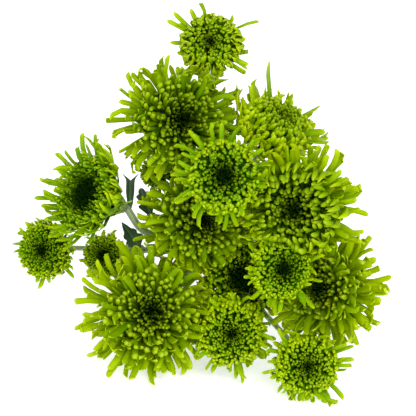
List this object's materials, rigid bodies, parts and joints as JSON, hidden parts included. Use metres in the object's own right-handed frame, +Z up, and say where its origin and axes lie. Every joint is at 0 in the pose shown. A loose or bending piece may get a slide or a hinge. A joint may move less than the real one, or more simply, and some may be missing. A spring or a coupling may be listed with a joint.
{
  "type": "pompon chrysanthemum spray",
  "caption": "Cut spray of green quilled chrysanthemum blooms, open, half-open and young, on a branching stem with lobed leaves, lying down.",
  "frame": {"origin": "on the surface that the spray lies on, under the middle of its outline", "axes": "+X to the right across the blooms, +Y from the blooms towards the cut end of the stem, +Z up"},
  "size_m": [0.1944, 0.1592, 0.1765],
  "materials": {
    "stem": "grey-green, ridged and finely downy skin of a soft herbaceous stem",
    "leaf": "matt dark bluish green blade, paler and greyer beneath",
    "petal": "satin lime green quills, brighter at the tips and almost black-green at the heart"
  },
  "bodies": {
    "root": {"stem": "stem", "leaf_left_upper": "leaf", "leaf_left_inner": "leaf", "leaf_left_lower": "leaf", "leaf_top": "leaf", "leaf_right": "leaf", "leaf_lower": "leaf", "leaf_stem": "leaf", "bloom_crown": "petal", "bloom_top": "petal", "bloom_upper_left": "petal", "bloom_upper_right": "petal", "bloom_right": "petal", "bloom_left": "petal", "bloom_hidden_left": "petal", "bloom_middle": "petal", "bloom_far_left": "petal", "bloom_low_left": "petal", "bloom_lower_left": "petal", "bloom_inner_right": "petal", "bloom_lower_right": "petal", "bloom_deep": "petal", "bloom_lower": "petal", "bloom_bottom_right": "petal"}
  },
  "joints": []
}
